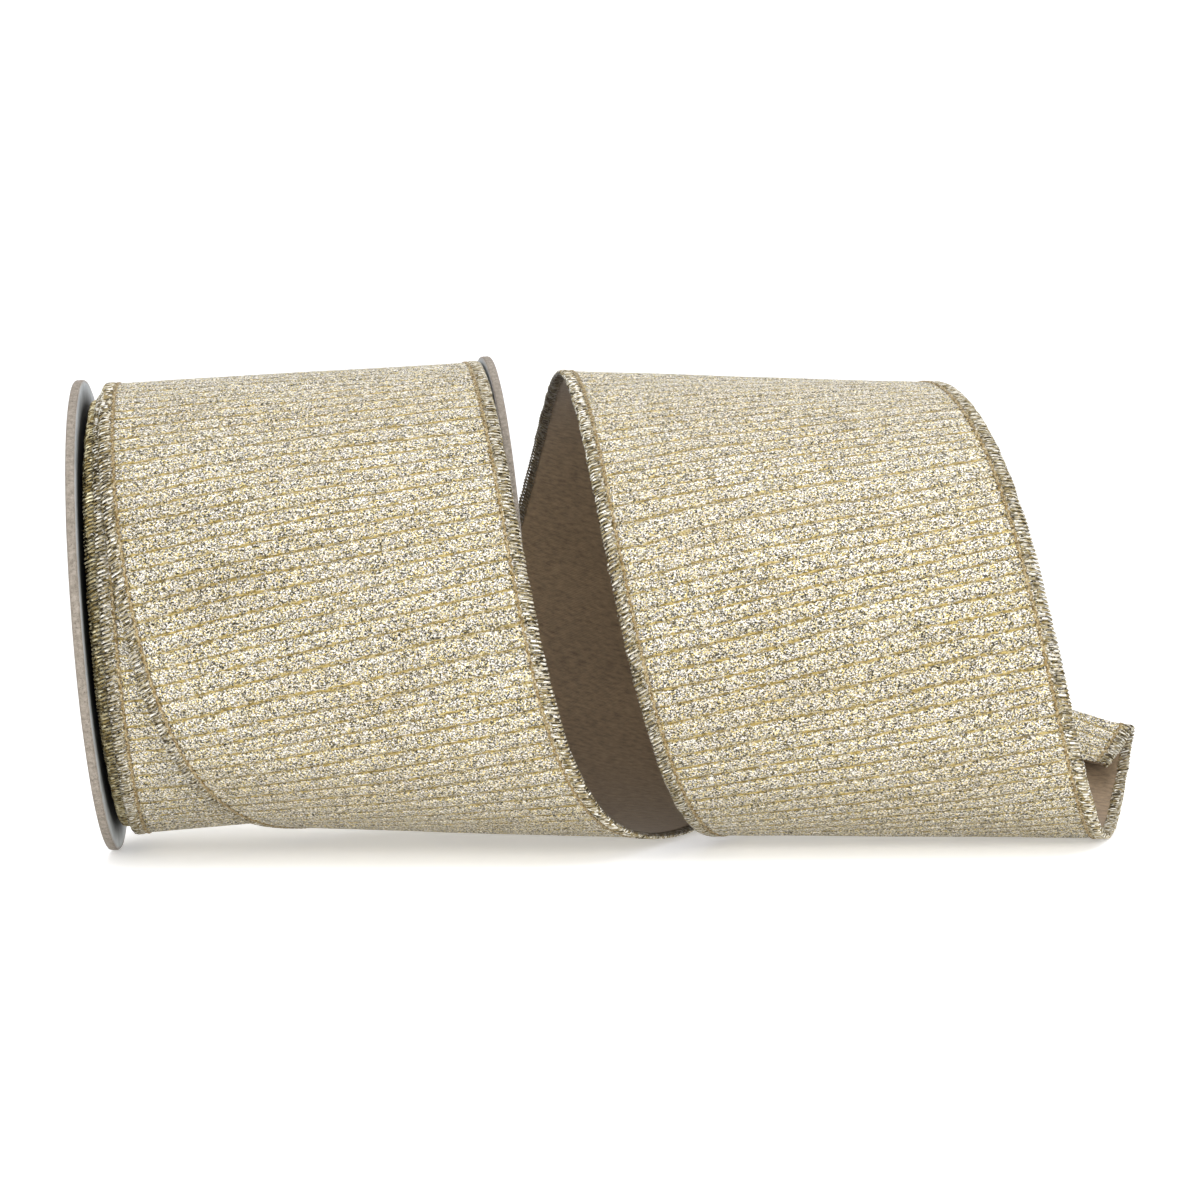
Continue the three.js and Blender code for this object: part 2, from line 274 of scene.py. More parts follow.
def quad_mesh(name, points, faces, uvs):
    """points in mm in the spool's frame; faces as (n, 4); uvs as {map: (vertices, 2)}."""
    mesh = bpy.data.meshes.new(name)
    points = to_row(points).reshape(-1, 3)
    mesh.vertices.add(len(points))
    mesh.vertices.foreach_set("co", points.ravel())
    mesh.loops.add(faces.size)
    mesh.loops.foreach_set("vertex_index", faces.ravel())
    mesh.polygons.add(len(faces))
    mesh.polygons.foreach_set("loop_start", np.arange(0, faces.size, faces.shape[1]))
    mesh.polygons.foreach_set("use_smooth", np.full(len(faces), True))
    for label, coordinates in uvs.items():
        layer = mesh.uv_layers.new(name=label)
        layer.data.foreach_set("uv", np.asarray(coordinates, float)[faces.ravel()].ravel())
    mesh.update()
    mesh.validate()
    return add_object(name, mesh)


def grid_faces(rows, columns, wrap_rows=False, wrap_columns=False):
    i = np.arange(rows if wrap_rows else rows - 1)[:, None]
    j = np.arange(columns if wrap_columns else columns - 1)[None, :]
    i2, j2 = (i + 1) % rows, (j + 1) % columns
    corners = [i * columns + j, i2 * columns + j, i2 * columns + j2, i * columns + j2]
    return np.stack(np.broadcast_arrays(*corners), -1).reshape(-1, 4)


def shell(name, top, bottom, uvs):
    """A closed thin sheet between two grids of points; top is its outer face."""
    rows, columns = top.shape[:2]
    count = rows * columns
    faces = grid_faces(rows, columns)
    index = np.arange(count).reshape(rows, columns)
    rim = np.concatenate([index[0, :-1], index[:-1, -1], index[-1, :0:-1], index[:0:-1, 0]])
    after = np.roll(rim, -1)
    walls = np.stack([rim, after, after + count, rim + count], -1)
    faces = np.concatenate([faces, faces[:, ::-1] + count, walls])
    points = np.concatenate([top.reshape(-1, 3), bottom.reshape(-1, 3)])
    doubled = {k: np.concatenate([v.reshape(-1, 2)] * 2) for k, v in uvs.items()}
    return quad_mesh(name, points, faces, doubled)


def tube(name, path, side, radii, sides, uv_along):
    """A closed tube round a path of points. Its section is an ellipse whose first radius
    points along the side vectors."""
    ahead = np.gradient(path, axis=0)
    ahead /= np.linalg.norm(ahead, axis=1)[:, None]
    side = side - (side * ahead).sum(1)[:, None] * ahead
    side /= np.linalg.norm(side, axis=1)[:, None]
    up = np.cross(ahead, side)
    angles = np.linspace(0, 2 * np.pi, sides, endpoint=False)
    ring = (
        path[:, None, :]
        + side[:, None, :] * (np.cos(angles) * radii[0])[None, :, None]
        + up[:, None, :] * (np.sin(angles) * radii[1])[None, :, None]
    )
    around = (angles / (2 * np.pi))[None, :]
    uv = np.stack(np.broadcast_arrays(np.asarray(uv_along)[:, None], around), -1).reshape(-1, 2)
    uv = np.concatenate([uv, uv[:1], uv[-1:]])
    points = np.concatenate([ring.reshape(-1, 3), path[:1], path[-1:]])
    quads = grid_faces(len(path), sides, wrap_columns=True)
    # Both ends are closed by triangles round the path's first and last point.
    k = np.arange(sides)
    after = (k + 1) % sides
    last = (len(path) - 1) * sides
    start_cap = np.stack([np.full(sides, len(points) - 2), k, after], -1)
    end_cap = np.stack([np.full(sides, len(points) - 1), last + after, last + k], -1)
    triangles = np.concatenate([start_cap, end_cap])
    mesh = bpy.data.meshes.new(name)
    mesh.from_pydata(to_row(points).tolist(), [], quads.tolist() + triangles.tolist())
    layer = mesh.uv_layers.new(name="flat")
    index = np.empty(len(mesh.loops), int)
    mesh.loops.foreach_get("vertex_index", index)
    layer.data.foreach_set("uv", uv[index].ravel())
    mesh.polygons.foreach_set("use_smooth", np.full(len(mesh.polygons), True))
    mesh.update()
    return add_object(name, mesh)


def revolve(name, profile, segments, uneven):
    """A closed ring: a closed profile of (along the axis, radius) turned about the axis.
    uneven(angle, along, radius) gives the ring's true distances along and radii."""
    profile = np.asarray(profile, float)
    angles = np.linspace(0, 2 * np.pi, segments, endpoint=False)[:, None]
    along = np.broadcast_to(profile[:, 0], (segments, len(profile))).copy()
    radius = np.broadcast_to(profile[:, 1], (segments, len(profile))).copy()
    along, radius = uneven(angles, along, radius)
    faces = grid_faces(segments, len(profile), wrap_rows=True, wrap_columns=True)[:, ::-1]
    uv = np.stack([np.broadcast_to(angles, along.shape), radius], -1).reshape(-1, 2)
    return quad_mesh(name, round_axis(along, radius, angles), faces, {"flat": uv})


# ------------------------------------------------------------------ materials
class Shader:
    """Adds and links shader nodes. Keyword arguments name sockets, with _ for each space."""

    def __init__(self, name):
        self.material = bpy.data.materials.new(name)
        self.material.use_nodes = True
        self.tree = self.material.node_tree
        self.bsdf = self.tree.nodes["Principled BSDF"]

    def put(self, socket, value):
        if isinstance(value, bpy.types.NodeSocket):
            self.tree.links.new(value, socket)
        else:
            socket.default_value = value

    def add(self, kind, settings=None, **inputs):
        node = self.tree.nodes.new("ShaderNode" + kind)
        for key, value in (settings or {}).items():
            setattr(node, key, value)
        for key, value in inputs.items():
            self.put(node.inputs[key.replace("_", " ")], value)
        return node

    def math(self, operation, a, b):
        node = self.add("Math", {"operation": operation})
        self.put(node.inputs[0], a)
        self.put(node.inputs[1], b)
        return node.outputs[0]

    def mix(self, factor, a, b, blend="MIX"):
        node = self.add("Mix", {"data_type": "RGBA", "blend_type": blend})
        for socket, value in ((0, factor), (6, a), (7, b)):
            if socket > 0 and not isinstance(value, bpy.types.NodeSocket):
                value = (*value, 1.0)
            self.put(node.inputs[socket], value)
        return node.outputs[2]

    def ramp(self, factor, *stops):
        node = self.add("ValToRGB", Fac=factor)
        elements = node.color_ramp.elements
        while len(elements) < len(stops):
            elements.new(0.5)
        for element, (position, colour) in zip(elements, stops):
            element.position = position
            element.color = (*colour, 1.0)
        return node.outputs["Color"]

    def grey_ramp(self, factor, *stops):
        return self.ramp(factor, *((position, (grey,) * 3) for position, grey in stops))

    def spread(self, value, low, high, to_low=0.0, to_high=1.0, interpolation="LINEAR"):
        """The value's range low..high spread over to_low..to_high."""
        return self.add(
            "MapRange",
            {"interpolation_type": interpolation},
            Value=value,
            From_Min=low,
            From_Max=high,
            To_Min=to_low,
            To_Max=to_high,
        ).outputs["Result"]

    def uv(self, label, scale=(1, 1, 1), location=(0, 0, 0)):
        source = self.add("UVMap", {"uv_map": label}).outputs["UV"]
        mapping = self.add("Mapping", Vector=source, Scale=scale, Location=location)
        return mapping.outputs["Vector"]

    def in_object(self, scale):
        """The object's own coordinates, each metre as so many units."""
        source = self.add("TexCoord").outputs["Object"]
        return self.add("Mapping", Vector=source, Scale=(scale,) * 3).outputs["Vector"]

    def part(self, vector, name):
        return self.add("SeparateXYZ", Vector=vector).outputs[name]

    def cells(self, vector):
        """Three random values that change from one grain to the next."""
        colour = self.add("TexVoronoi", {"feature": "F1"}, Vector=vector, Scale=1.0)
        return self.add("SeparateColor", Color=colour.outputs["Color"]).outputs

    def noise(self, vector, scale=1.0, detail=2.0, roughness=0.5):
        return self.add(
            "TexNoise", Vector=vector, Scale=scale, Detail=detail, Roughness=roughness
        ).outputs["Fac"]

    def wave(self, direction, vector, scale, **inputs):
        node = self.add(
            "TexWave", {"bands_direction": direction}, Vector=vector, Scale=scale, **inputs
        )
        return node.outputs["Fac"]

    def bump(self, height, strength, distance):
        node = self.add("Bump", Height=height, Strength=strength, Distance=distance)
        return node.outputs["Normal"]

    def finish(self, **sockets):
        for key, value in sockets.items():
            self.put(self.bsdf.inputs[key.replace("_", " ")], value)
        return self.material


def glitter_cloth():
    """Metallised yarns: silver grains with gold and dark ones among them, painted shade in
    the rib grooves and painted highlight on the ridges, and gold cross threads that run along
    the ribs and break up into dashes."""
    s = Shader("glitter_cloth")
    grains_per_mm = (4.4, 3.3, 1)
    shade = s.cells(s.uv("flat", grains_per_mm))
    silver = s.ramp(
        shade[0],
        (0.0, (0.012, 0.011, 0.008)),
        (0.15, (0.05, 0.046, 0.035)),
        (0.30, (0.20, 0.187, 0.15)),
        (0.48, (0.42, 0.40, 0.345)),
        (0.64, (0.65, 0.63, 0.575)),
        (0.82, (0.94, 0.92, 0.87)),
        (1.0, (1.0, 1.0, 0.98)),
    )
    tint = s.ramp(
        shade[1],
        (0.0, (0.86, 0.70, 0.24)),
        (0.24, (0.92, 0.80, 0.44)),
        (0.43, (0.97, 0.95, 0.84)),
        (0.58, (0.99, 0.975, 0.985)),
        (1.0, (1.0, 0.98, 0.995)),
    )
    grains = s.mix(1.0, silver, tint, "MULTIPLY")

    phase = s.part(s.uv("rib"), "X")
    from_rib = s.math("PINGPONG", phase, 0.5)
    dashes = s.noise(s.uv("flat", (1.6, 0.22, 1)))
    wander = s.math("MULTIPLY", s.math("SUBTRACT", dashes, 0.5), 0.35)
    edge, solid = 0.13, 0.02
    line = s.spread(s.math("ADD", from_rib, wander), edge, solid, interpolation="SMOOTHSTEP")
    thread_shade = s.cells(s.uv("flat", (2.9, 0.9, 1), (7, 3, 0)))[1]
    missing = 0.27
    keep = s.math("GREATER_THAN", thread_shade, missing)
    patches = s.noise(s.uv("flat", (0.045, 0.025, 1), (5, 9, 0)))
    strong = s.grey_ramp(patches, (0.30, 0.60), (0.58, 1.0))
    gold_mask = s.math("MULTIPLY", s.math("MULTIPLY", line, keep), strong)
    gold = s.ramp(
        thread_shade,
        (missing, (0.13, 0.088, 0.014)),
        (0.65, (0.36, 0.256, 0.054)),
        (1, (0.60, 0.46, 0.15)),
    )
    # Painted shade and highlight: darker in each rib's groove, lighter on the ridges beside it.
    rib_shade_and_highlight = s.ramp(
        s.math("FRACT", phase, 0.0),
        (0.0, (0.66, 0.64, 0.56)),
        (0.09, (0.90, 0.89, 0.86)),
        (0.17, (1.12, 1.12, 1.12)),
        (0.32, (1.07, 1.07, 1.07)),
        (0.46, (0.98, 0.98, 0.98)),
        (0.80, (0.95, 0.95, 0.95)),
        (0.93, (0.89, 0.88, 0.85)),
        (1.0, (0.66, 0.64, 0.56)),
    )
    grains = s.mix(1.0, grains, rib_shade_and_highlight, "MULTIPLY")
    colour = s.mix(s.math("MULTIPLY", gold_mask, 0.9), grains, gold)

    slow = s.noise(s.uv("flat", (0.05, 0.02, 1)))
    tone = s.ramp(slow, (0.3, (0.90, 0.88, 0.84)), (0.7, (1.0, 1.0, 1.0)))
    colour = s.mix(1.0, colour, tone, "MULTIPLY")
    weft = s.wave("X", s.uv("flat"), 0.55, Distortion=1.5, Detail_Scale=2.0)
    height = s.math("ADD", shade[1], s.math("MULTIPLY", weft, 0.6))
    return s.finish(
        Base_Color=colour,
        Metallic=0.42,
        Roughness=s.spread(shade[2], 0.0, 1.0, 0.28, 0.62),
        Normal=s.bump(height, 0.55, 0.00022),
    )


def backing_cloth():
    """Plain taupe weave with the ribs showing through faintly."""
    s = Shader("backing_cloth")
    weft = s.wave("X", s.uv("flat"), 0.62, Distortion=0.6)
    warp = s.wave("Y", s.uv("flat"), 0.8, Distortion=0.4)
    grain = s.noise(s.uv("flat", (1.1, 0.35, 1)), 1.0, 4.0, 0.65)
    patches = s.noise(s.uv("flat", (0.06, 0.03, 1)))
    base = s.ramp(grain, (0.28, (0.130, 0.086, 0.046)), (0.72, (0.310, 0.222, 0.130)))
    tint = s.ramp(patches, (0.3, (0.90, 0.88, 0.85)), (0.75, (1.08, 1.06, 1.03)))
    from_rib = s.math("PINGPONG", s.part(s.uv("rib"), "X"), 0.5)
    weave = s.math("MULTIPLY", weft, warp)
    height = s.math("ADD", weave, s.math("MULTIPLY", from_rib, 0.8))
    return s.finish(
        Base_Color=s.mix(1.0, base, tint, "MULTIPLY"),
        Roughness=0.72,
        Sheen_Weight=0.25,
        Normal=s.bump(height, 0.35, 0.0002),
    )


def thread(name, dark, middle, light, metallic, scale=1.0, lower_thread_and_shade=0.0):
    """Metallic yarn: its tone changes from stitch to stitch, with the twist of its plies.
    The last argument darkens the half of each stitch on the backing side towards dark brown:
    in part the darker lower thread, in part painted shade. The darkening falls to a quarter
    between the two stitch counts set above."""
    s = Shader(name)
    value = s.cells(s.uv("flat", (11.0 * scale, 4.0, 1)))[0]
    gold = tuple(m * f for m, f in zip(middle, (0.80, 0.70, 0.45)))
    colour = s.ramp(value, (0.0, dark), (0.16, dark), (0.30, gold), (0.55, middle), (0.92, light))
    stitch = s.part(s.uv("flat"), "X")
    # Painted shade, in part the darker lower thread: the backing half of each stitch is darkened
    # towards dark brown.
    below = s.math("GREATER_THAN", s.math("FRACT", stitch, 0.0), 0.53)
    share = s.spread(stitch, UNDERSIDE_FADE_FROM, UNDERSIDE_FADE_TO, lower_thread_and_shade, lower_thread_and_shade * 0.25)
    colour = s.mix(s.math("MULTIPLY", below, share), colour, (0.055, 0.038, 0.021))
    twist = s.wave("DIAGONAL", s.uv("flat", (2.0 * scale, 2.0, 1)), 1.0)
    return s.finish(
        Base_Color=colour, Metallic=metallic, Roughness=0.42, Normal=s.bump(twist, 0.5, 0.0002)
    )


def chipboard(name, dark, light):
    """Raw grey-brown board: fibres, and flecks of darker pulp."""
    s = Shader(name)
    where = s.in_object(1000)
    fibre = s.noise(where, 0.9, 6.0, 0.7)
    fleck = s.noise(where, 2.6)
    base = s.ramp(fibre, (0.3, dark), (0.7, light))
    spots = s.ramp(fleck, (0.30, (0.45, 0.42, 0.38)), (0.42, (1.0, 1.0, 1.0)))
    colour = s.mix(0.8, base, spots, "MULTIPLY")
    return s.finish(Base_Color=colour, Roughness=0.88, Normal=s.bump(fibre, 0.5, 0.00035))


def flange_paper(name, inside=False):
    """Thin grey paper glued to the board: soft mottling, faint specks and a worn rim.
    On the inside faces, painted shade darkens it to near black towards the roll."""
    s = Shader(name)
    where = s.in_object(1000)
    mottle = s.noise(where, 0.12, 4.0, 0.6)
    fine = s.noise(where, 1.7, 3.0, 0.6)
    base = s.ramp(mottle, (0.3, (0.44, 0.47, 0.49)), (0.7, (0.62, 0.65, 0.67)))
    specks = s.grey_ramp(fine, (0.28, 0.82), (0.5, 1.0))
    paper = s.mix(1.0, base, specks, "MULTIPLY")
    radius = s.part(s.uv("flat"), "Y")
    if inside:
        # Painted shade: near black towards the roll, where the gap between flange and roll lies in
        # shade.
        shade_reach = s.math("ADD", radius, s.math("MULTIPLY", mottle, 1.2))
        unshaded_share = s.spread(shade_reach, ROLL_RADIUS - 0.5, FLANGE_RADIUS - 1.7)
        paper = s.mix(unshaded_share, (0.012, 0.012, 0.012), paper)
    worn_from = s.math("ADD", radius, s.math("MULTIPLY", fine, 1.6))
    worn = s.spread(worn_from, FLANGE_RADIUS - 0.4, FLANGE_RADIUS + 0.9)
    colour = s.mix(worn, paper, (0.26, 0.20, 0.15))
    return s.finish(Base_Color=colour, Roughness=0.62, Normal=s.bump(fine, 0.2, 0.0002))


def tape_film():
    s = Shader("tape_film")
    where = s.add("TexCoord").outputs["Object"]
    where = s.add("Mapping", Vector=where, Scale=(300, 900, 900)).outputs["Vector"]
    streak = s.noise(where, 1.0, 3.0)
    colour = s.ramp(streak, (0.3, (0.55, 0.50, 0.38)), (0.7, (0.72, 0.68, 0.56)))
    return s.finish(Base_Color=colour, Roughness=0.3, Normal=s.bump(streak, 0.2, 0.0002))


def edge_wire():
    s = Shader("edge_wire")
    drawn = s.noise(s.uv("flat", (0.2, 8.0, 1)), 1.0, 3.0)
    colour = s.ramp(drawn, (0.3, (0.30, 0.29, 0.27)), (0.7, (0.52, 0.51, 0.49)))
    normal = s.bump(drawn, 0.2, 0.0001)
    return s.finish(Base_Color=colour, Metallic=1.0, Roughness=0.35, Normal=normal)


OVERLOCK = ((0.050, 0.035, 0.010), (0.38, 0.32, 0.18), (0.96, 0.93, 0.84))
DEEP_OVERLOCK = ((0.042, 0.030, 0.010), (0.42, 0.335, 0.15), (1.0, 0.92, 0.62))
GOLD = ((0.13, 0.085, 0.03), (0.34, 0.25, 0.11), (0.60, 0.50, 0.31))
MATERIALS = {
    "glitter_cloth": glitter_cloth(),
    "backing_cloth": backing_cloth(),
    "overlock_thread": thread("overlock_thread", *OVERLOCK, metallic=0.3, lower_thread_and_shade=0.8),
    "deep_thread": thread("deep_thread", *DEEP_OVERLOCK, metallic=0.33),
    "gold_thread": thread("gold_thread", *GOLD, metallic=0.3, scale=0.25),
    "chipboard": chipboard("chipboard", (0.16, 0.135, 0.105), (0.37, 0.325, 0.275)),
    "core_board": chipboard("core_board", (0.22, 0.17, 0.12), (0.38, 0.31, 0.24)),
    "flange_paper": flange_paper("flange_paper"),
    "inside_paper_painted_shade": flange_paper("inside_paper_painted_shade", inside=True),
    "tape_film": tape_film(),
    "edge_wire": edge_wire(),
}


def dress(piece, slot, body, *nodes, look=None):
    """Gives a piece one material, the look's if there is one and else the slot's, attaches it to
    its body, and hides the CAD nodes that it stands for.
    """
    piece.data.materials.clear()
    piece.data.materials.append(MATERIALS[look or slot])
    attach(piece, body)
    if nodes:
        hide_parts(*nodes)


# ------------------------------------------------------------------ the free ribbon
RIB_NOISE = Noise(11)
CREASE_NOISE = Noise(23)
# Across a rib, as shares of its pitch: the middle and width of its groove and its two ridges.
RIB_GROOVE = (0.0, 0.09)
RIB_RIDGES = ((0.22, 0.12), (-0.26, 0.14))
GROOVE_DEPTH = 0.36
RIDGE_HEIGHT = 0.16
CREASE_HEIGHT = 0.12


def rib_phase(along, offset):
    """Which rib a point is on: ribs are uneven in pitch and wander a little across."""
    return (
        along / RIB_PITCH
        + 0.45 * RIB_NOISE(along / 13.0)
        + 0.16 * RIB_NOISE(along / 16.0 + 40, offset / 21.0)
    )


def bell(value, middle, width):
    return np.exp(-(((value - middle) / width) ** 2))


def rib_height(along, offset):
    """A narrow groove at each rib's cross thread, and two low ridges beside it."""
    phase = rib_phase(along, offset)
    past = phase - np.round(phase)
    groove = bell(past, *RIB_GROOVE)
    ridge = bell(past, *RIB_RIDGES[0]) + bell(past, *RIB_RIDGES[1])
    strength = 0.75 + 0.45 * RIB_NOISE(along / 7.0 + 90, offset / 30.0)
    return strength * (RIDGE_HEIGHT * ridge - GROOVE_DEPTH * groove)


def creases(along, offset):
    """Slow unevenness of the cloth, gone at the stitched edges."""
    inside = 1 - (np.abs(offset) / HALF_WIDTH) ** 4
    return CREASE_HEIGHT * inside * CREASE_NOISE(along / 23.0, offset / 26.0)


def cloth_maps(along, offset):
    """The cloth's two UV maps: mm along and across, and the rib that a point is on."""
    return {
        "flat": np.stack([along, offset], -1),
        "rib": np.stack([rib_phase(along, offset), offset], -1),
    }


def cloth(name, start, end, low, high, step, columns, ribs):
    """A ply of the free ribbon from start to end, between two heights."""
    rows = int((end - start) / step) + 1
    along = np.linspace(start, end, rows)[:, None]
    offset = np.linspace(-CLOTH_REACH, CLOTH_REACH, columns)[None, :]
    along, offset = np.broadcast_arrays(along, offset)
    lift = creases(along, offset) + (rib_height(along, offset) if ribs else 0)
    top = ribbon_point(along, offset, high + lift)
    bottom = ribbon_point(along, offset, low + lift)
    return shell(name, top, bottom, cloth_maps(along, offset))


def squash(value):
    """A sine or cosine with its corners filled out, which flattens the circle it draws."""
    return np.sign(value) * np.abs(value) ** 0.75


def coil(name, point, side, start, end, seed):
    """Thread wrapped round a cloth's edge, one stitch after another."""
    count = int((end - start) / STITCH_PITCH) * STITCH_POINTS
    angle = np.arange(count + 1) * 2 * np.pi / STITCH_POINTS
    uneven = Noise(seed)
    along = start + (end - start) * np.arange(count + 1) / count
    along = along + 0.12 * uneven(along / 1.7) + STITCH_SLANT * np.cos(angle)
    half_width = STITCH_HALF_WIDTH * (1 + 0.10 * uneven(along / 2.9 + 7))
    centre = side * (HALF_WIDTH - STITCH_INSET)
    offset = centre + side * half_width * squash(np.cos(angle))
    height = STITCH_HALF_THICKNESS * squash(np.sin(angle))
    path = point(along, offset, height)
    middle = point(along, centre + 0 * along, 0 * along)
    return tube(name, path, path - middle, THREAD_RADII, 5, angle / (2 * np.pi))


def tube_on_ribbon(name, along, offset, height, radii):
    """A tube laid on the free ribbon, its section upright."""
    path = ribbon_point(along, offset, height)
    above = ribbon_point(along, offset, height + 1.0) - path
    return tube(name, path, above, radii, 6, along)


def chain_row(name, side, start, end):
    """The gold needle thread just inside the stitched edge: a row of small linked loops."""
    along = np.linspace(start, end, int((end - start) / CHAIN_STEP) + 1)
    beat = 2 * np.pi * along / (2 * STITCH_PITCH)
    offset = side * (HALF_WIDTH - CHAIN_INSET + 0.22 * np.sin(beat))
    height = CHAIN_HEIGHT + 0.10 * np.sin(2 * beat)
    return tube_on_ribbon(name, along, offset, height, CHAIN_RADII)


def wire(name, side, start, end):
    along = np.linspace(start, end, int((end - start) / WIRE_STEP))
    offset = np.full_like(along, side * (HALF_WIDTH - WIRE_INSET))
    return tube_on_ribbon(name, along, offset, 0 * along, WIRE_RADII)


def loose_thread():
    """A frayed yarn hanging from the flap's cut end."""
    t = np.linspace(0, 1, 24)
    along = CUT_PLACE - 1.5 + 3.2 * t
    offset = HALF_WIDTH - 7.0 + 5.5 * t + 0.5 * np.sin(7 * t)
    path = ribbon_point(along, offset, 0.9 + 0.9 * t**2)
    above = ribbon_point(along, offset, 2.5 + 0 * t) - path
    yarn = tube("frayed_yarn", path, above, YARN_RADII, 6, along)
    dress(yarn, "overlock_thread", "ribbon_tail")


def free_ribbon():
    """The last turn on the roll, the curl and the folded end: two plies and their edges."""
    start, end = -TURN_LENGTH, CUT_PLACE
    outer = (PLY_HALF_GAP, PLY_HALF_GAP + PLY)
    inner = (-PLY_HALF_GAP - PLY, -PLY_HALF_GAP)
    face = cloth("ribbon_face", start, FREE_LENGTH, *outer, step=0.55, columns=24, ribs=True)
    dress(face, "glitter_cloth", "ribbon_tail", "ribbon_face_cloth")
    flap = cloth("ribbon_folded_end", FREE_LENGTH, end, *outer, step=0.5, columns=40, ribs=True)
    dress(flap, "glitter_cloth", "ribbon_tail", "ribbon_end_fold")
    back = cloth("ribbon_backing", start, end, *inner, step=1.9, columns=24, ribs=False)
    dress(back, "backing_cloth", "ribbon_tail", "ribbon_backing_cloth")
    trims = []
    for label, side in (("left", -1), ("right", 1)):
        edge = coil(f"ribbon_{label}_edge_stitches", ribbon_point, side, start, end, 31 + side)
        dress(edge, "overlock_thread", "ribbon_tail", f"ribbon_{label}_overlock")
        row = chain_row(f"ribbon_{label}_chain_row", side, start, end - 1)
        dress(row, "gold_thread", "ribbon_tail", f"ribbon_{label}_chain_stitch")
        core = wire(f"ribbon_{label}_edge_wire", side, start, end - 1)
        dress(core, "edge_wire", "ribbon_tail", f"ribbon_{label}_wire")
        trims += [edge, row, core]
    loose_thread()


# ------------------------------------------------------------------ the wound roll
def wound_roll():
    """One long strip wound in a spiral from the core outwards, with both stitched edges."""
    inner = CORE_RADIUS + ROLL_START
    turns = (ROLL_RADIUS - ROLL_END - inner) / ROLL_PITCH
    turn = np.linspace(0, turns, int(turns * ROLL_STEPS))
    radius = inner + ROLL_PITCH * turn
    angle = 2 * np.pi * turn
    arc = np.concatenate([[0], np.cumsum(np.diff(angle) * (radius[1:] + radius[:-1]) / 2)])
    # Turns slip a little to either side of each other, less so in the outermost three.
    slip = Noise(47)
    shift = 0.55 * slip(turn / 1.3) + 0.35 * slip(turn * 2.1 + 50)
    shift *= np.clip((turns - turn) / 3, 0.3, 1)
    middle = ROLL_LEFT + HALF_WIDTH
    offset = np.linspace(-CLOTH_REACH, CLOTH_REACH, ROLL_COLUMNS)
    along, across = np.broadcast_arrays(arc[:, None], offset[None, :])

    def spiral(height):
        r = radius[:, None] + height + ROLL_RIBS * rib_height(along, across)
        return round_axis(middle + shift[:, None] + across, r, angle[:, None])

    def roll_point(along, offset, height):
        r = np.interp(along, arc, radius) + height
        place = middle + np.interp(along, arc, shift) + offset
        return round_axis(place, r, np.interp(along, arc, angle))

    top, bottom = spiral(ROLL_HALF_THICKNESS), spiral(-ROLL_HALF_THICKNESS)
    web = shell("wound_roll", top, bottom, cloth_maps(along, across))
    dress(web, "glitter_cloth", "spool", "wound_ribbon_web")

    # Only the outer turns show their stitches; below them each edge is one plain strand.
    last = np.interp(turns - OUTER_TURNS, turn, arc)
    below = arc[arc < last]
    for label, side in (("left", -1), ("right", 1)):
        path = roll_point(below, side * (HALF_WIDTH - STRAND_INSET), 0)
        outwards = path * [0, 1, 1]
        name = f"wound_{label}_edges"
        strand = tube(name, path, outwards, STRAND_RADII, 8, below / STITCH_PITCH)
        node = f"wound_{label}_binding"
        dress(strand, "overlock_thread", "spool", node, look="deep_thread")
        outer = coil(f"wound_{label}_outer_stitches", roll_point, side, last, arc[-1], 41 + side)
        dress(outer, "overlock_thread", "spool", look="deep_thread")


# ------------------------------------------------------------------ the spool
RIM_BAND = 1.0  # the board is frayed and the papers are puckered this far in from the rim
RIM_POINTS = 9  # across the board's thickness
PLIES_PER_MM = 9.0
BOARD_HOLE = CORE_RADIUS + 0.15
INNER_PAPER_HOLE = BOARD_HOLE + 0.1
OUTER_PAPER_HOLE = CORE_LIP_RADIUS + FIT_GAP
PAPER_RADIUS = FLANGE_RADIUS - 0.35


def flange(label, inner_face, side):
    """A board with a layered, slightly frayed rim between two paper skins."""
    rim_noise = Noise(61 + side)
    low, high = SKIN, FLANGE_STACK - SKIN

    def at(depth):
        return inner_face + side * depth

    def fray(angle, along, radius):
        ply = (along - inner_face) * PLIES_PER_MM
        rough = 0.07 * rim_noise(angle * 40, ply) + 0.05 * rim_noise(angle * 150 + 9, ply * 2)
        at_rim = radius > FLANGE_RADIUS - RIM_BAND
        return along, np.where(at_rim, radius + rough - 0.05, radius)

    def pucker(angle, along, radius):
        at_rim = radius > FLANGE_RADIUS - RIM_BAND
        along = along + 0.035 * rim_noise(angle * 9, radius / 6)
        return along, radius + 0.06 * rim_noise(angle * 60, 0.5) * at_rim

    outline = []
    for k, depth in enumerate(np.linspace(low, high, RIM_POINTS)):
        rounding = 0.16 if k in (0, RIM_POINTS - 1) else 0.05
        outline.append((at(depth), FLANGE_RADIUS - rounding))
    spokes = np.linspace(FLANGE_RADIUS - 3, BOARD_HOLE, 5)
    outline += [(at(high), r) for r in spokes] + [(at(low), r) for r in spokes[::-1]]
    board = revolve(f"{label}_board", outline[::side], 540, fray)
    dress(board, "chipboard", "spool", f"{label}_flange_board")

    papers = (("inner", 0.0, INNER_PAPER_HOLE), ("outer", high, OUTER_PAPER_HOLE))
    for face, near, hole in papers:
        far = near + SKIN
        rings = np.linspace(hole, PAPER_RADIUS, 24)
        loop = [(at(near), r) for r in rings]
        loop += [(at((near + far) / 2), rings[-1] + 0.12)]
        loop += [(at(far), r) for r in rings[::-1]]
        paper = revolve(f"{label}_{face}_paper", loop[::-side], 360, pucker)
        look = "inside_paper_painted_shade" if face == "inner" else "flange_paper"
        dress(paper, "flange_paper", "spool", f"{label}_flange_{face}_paper", look=look)


